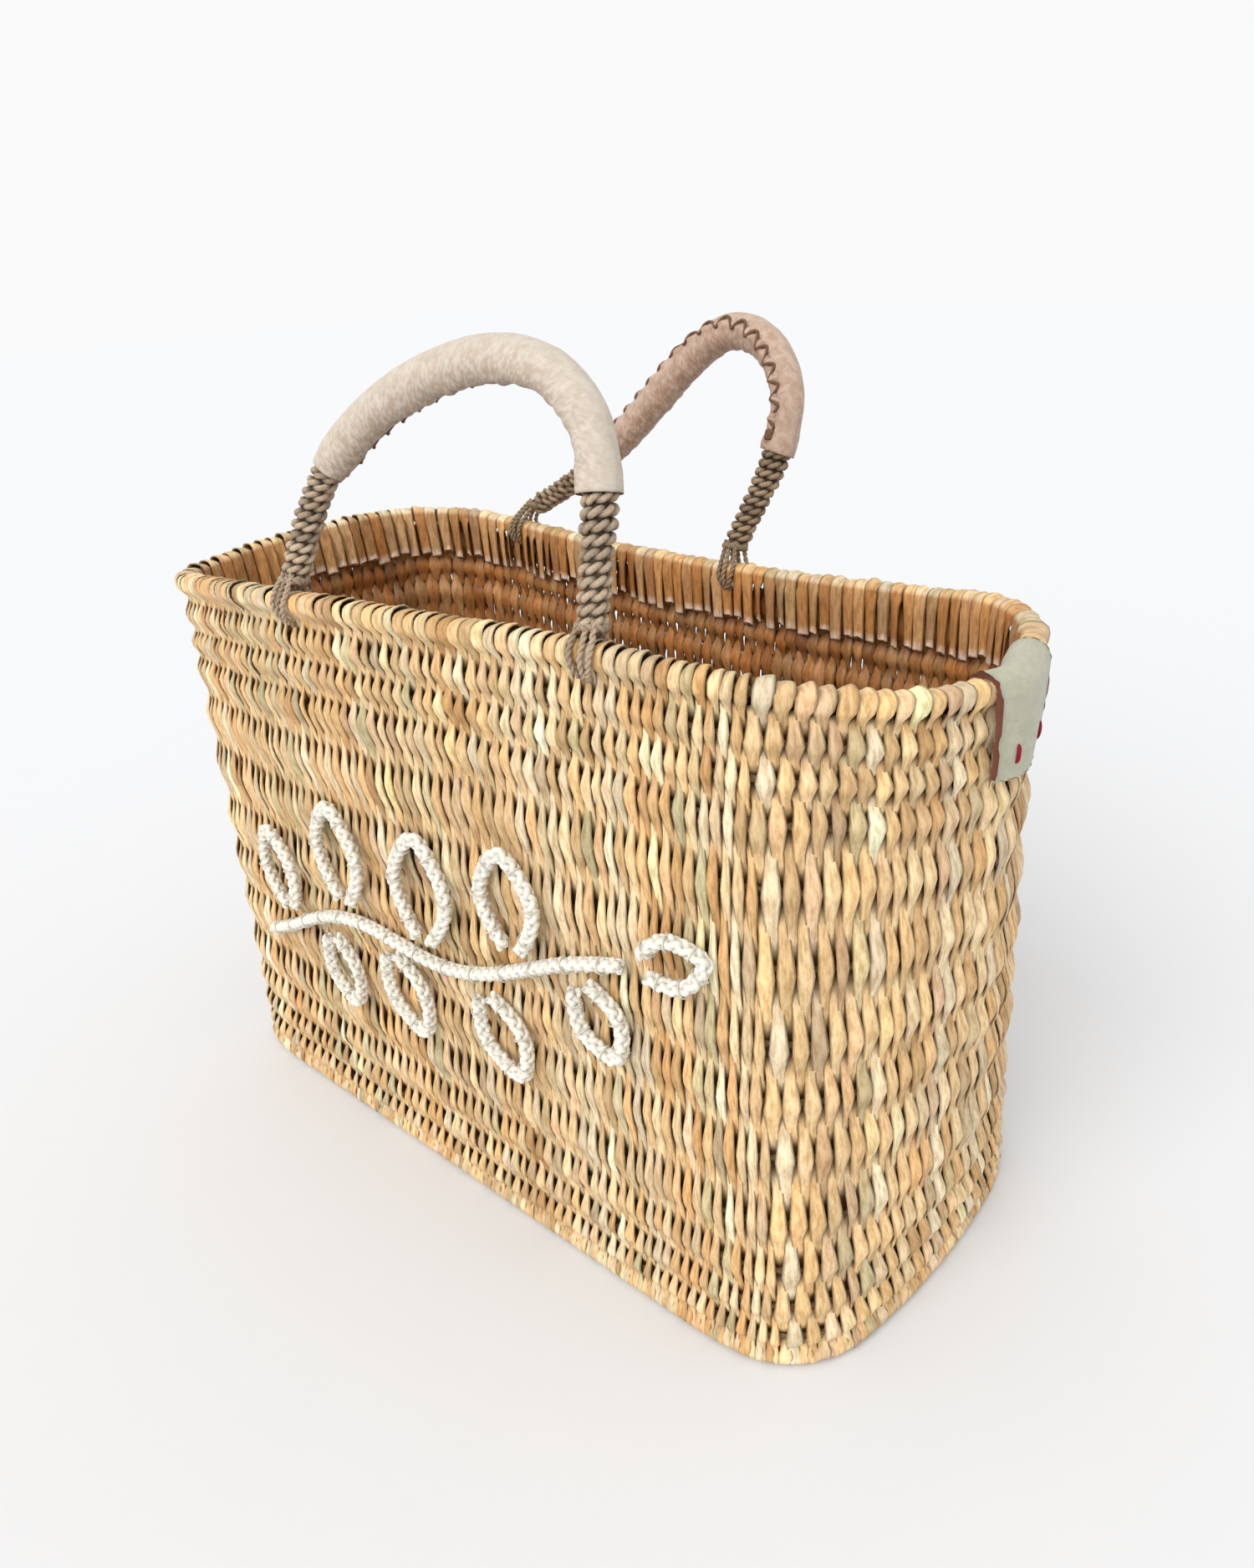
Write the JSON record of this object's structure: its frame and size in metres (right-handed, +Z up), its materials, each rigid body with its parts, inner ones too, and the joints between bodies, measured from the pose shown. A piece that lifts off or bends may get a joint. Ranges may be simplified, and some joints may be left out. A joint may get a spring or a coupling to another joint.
{
  "type": "woven market basket",
  "caption": "Rectangular woven reed market basket with swinging arched cord handles in leather sleeves, a folded leather rim tab and a sewn cord motif on the front.",
  "frame": {"origin": "middle of the flat underside", "axes": "+Z up, +X along the basket towards the end with the leather tab, -Y towards the front with the cord motif"},
  "size_m": [0.3902, 0.2329, 0.3696],
  "materials": {
    "reed": "natural flattened reed, satin, straw to honey",
    "foundation_cord": "twisted plant-fibre cord, matte",
    "seagrass_cord": "two-ply twisted seagrass cord, matte",
    "leather_beige": "soft leather, wrinkled, matte",
    "leather_tan": "soft leather, matte",
    "leather_sage": "firm leather, satin, red-brown cut edge",
    "brown_lace": "thin brown lace",
    "red_thread": "dark red waxed thread",
    "cotton_cord": "braided cotton cord, ecru"
  },
  "bodies": {
    "basket": {"base_reeds": "reed", "front_wall_reeds": "reed", "right_end_reeds": "reed", "back_wall_reeds": "reed", "left_end_reeds": "reed", "rim_fold_reeds": "reed", "base_cord_1": "foundation_cord", "base_cord_2": "foundation_cord", "base_cord_3": "foundation_cord", "base_cord_4": "foundation_cord", "base_cord_5": "foundation_cord", "base_cord_6": "foundation_cord", "base_cord_7": "foundation_cord", "foundation_cord_01": "foundation_cord", "foundation_cord_02": "foundation_cord", "foundation_cord_03": "foundation_cord", "foundation_cord_04": "foundation_cord", "foundation_cord_05": "foundation_cord", "foundation_cord_06": "foundation_cord", "foundation_cord_07": "foundation_cord", "foundation_cord_08": "foundation_cord", "foundation_cord_09": "foundation_cord", "foundation_cord_10": "foundation_cord", "foundation_cord_11": "foundation_cord", "foundation_cord_12": "foundation_cord", "rim_core_cord": "foundation_cord", "front_left_lashing": "seagrass_cord", "front_right_lashing": "seagrass_cord", "back_left_lashing": "seagrass_cord", "back_right_lashing": "seagrass_cord", "leather_tab": "leather_sage", "tab_stitches": "red_thread", "motif_stem": "cotton_cord", "motif_leaves": "cotton_cord", "motif_stitches": "cotton_cord"},
    "front_handle": {"front_handle_core": "foundation_cord", "front_handle_left_wrap": "seagrass_cord", "front_handle_right_wrap": "seagrass_cord", "front_handle_sleeve": "leather_beige", "front_handle_lacing": "brown_lace"},
    "back_handle": {"back_handle_core": "foundation_cord", "back_handle_left_wrap": "seagrass_cord", "back_handle_right_wrap": "seagrass_cord", "back_handle_sleeve": "leather_tan", "back_handle_lacing": "brown_lace"}
  },
  "joints": [
    {"name": "front_handle_swing", "type": "hinge", "parent": "basket", "child": "front_handle", "pos_m": [0.02275, -0.10103, 0.27377], "axis": [-0.993, -0.1173, -0.0112], "range_deg": [-60, 33]},
    {"name": "back_handle_swing", "type": "hinge", "parent": "basket", "child": "back_handle", "pos_m": [-0.0455, 0.07616, 0.25513], "axis": [0.9993, -0.0331, -0.0188], "range_deg": [-27, 66]}
  ]
}
